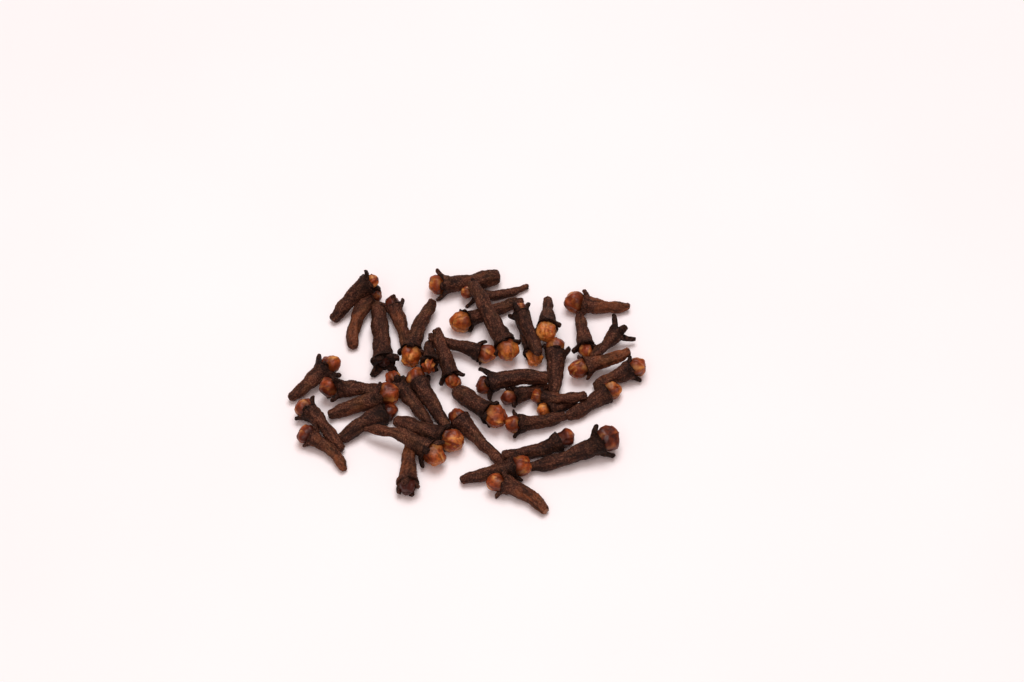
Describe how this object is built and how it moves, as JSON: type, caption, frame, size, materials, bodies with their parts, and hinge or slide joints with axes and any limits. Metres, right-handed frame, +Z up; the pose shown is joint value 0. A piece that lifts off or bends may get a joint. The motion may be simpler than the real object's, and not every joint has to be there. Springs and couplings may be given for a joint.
{
  "type": "heap of whole cloves",
  "caption": "Loose heap of dried whole cloves, one or two deep, each a thin stem with a four-pronged calyx and a round bud.",
  "frame": {"origin": "centre of the heap's footprint, on the surface that the cloves lie on", "axes": "+X along the heap's long side, to the right of the picture; +Y away from the viewer; +Z up"},
  "size_m": [0.0739, 0.062, 0.0086],
  "materials": {
    "clove": "dry and finely wrinkled, matt stems and slightly oily buds"
  },
  "bodies": {
    "root": {"clove_heap": "clove"}
  },
  "joints": []
}
